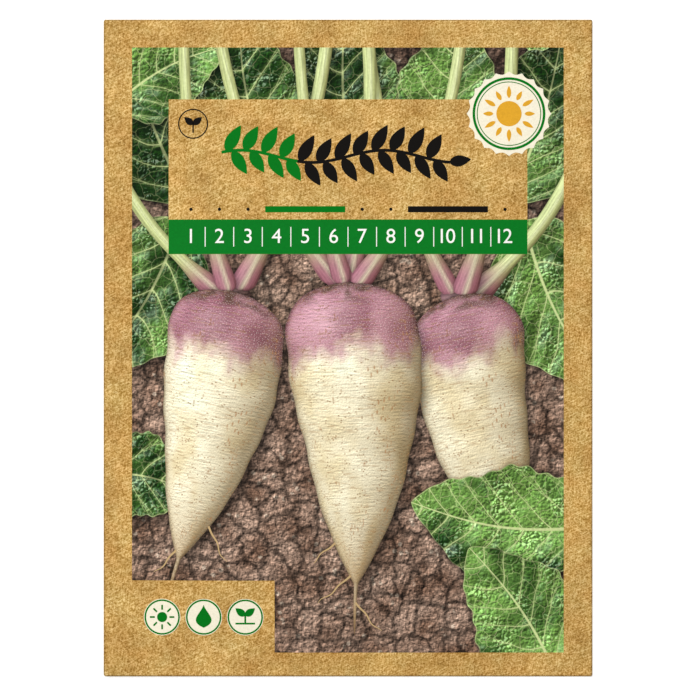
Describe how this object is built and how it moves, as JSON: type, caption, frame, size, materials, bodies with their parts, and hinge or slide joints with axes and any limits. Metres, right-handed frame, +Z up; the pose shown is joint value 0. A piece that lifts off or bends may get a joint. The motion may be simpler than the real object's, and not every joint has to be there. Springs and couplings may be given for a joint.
{
  "type": "seed packet",
  "caption": "Flat kraft-paper seed packet, folded and glued shut, with a slight crown over the sealed foil sachet of seeds inside.",
  "frame": {"origin": "middle of the packet's outline, on the surface that the packet lies on", "axes": "+Z up, out of the printed front; +Y towards the packet's top edge; +X to the right of someone reading the front"},
  "size_m": [0.12, 0.1614, 0.0038],
  "materials": {
    "kraft_paper": "matte printed kraft paper with a fine mottled fibre grain",
    "foil_laminate": "satin foil laminate",
    "seed_coat": "dull dark brown seed coat"
  },
  "bodies": {
    "root": {"envelope": "kraft_paper", "sachet_lower_web": "foil_laminate", "sachet_upper_web": "foil_laminate", "seeds": "seed_coat"}
  },
  "joints": []
}
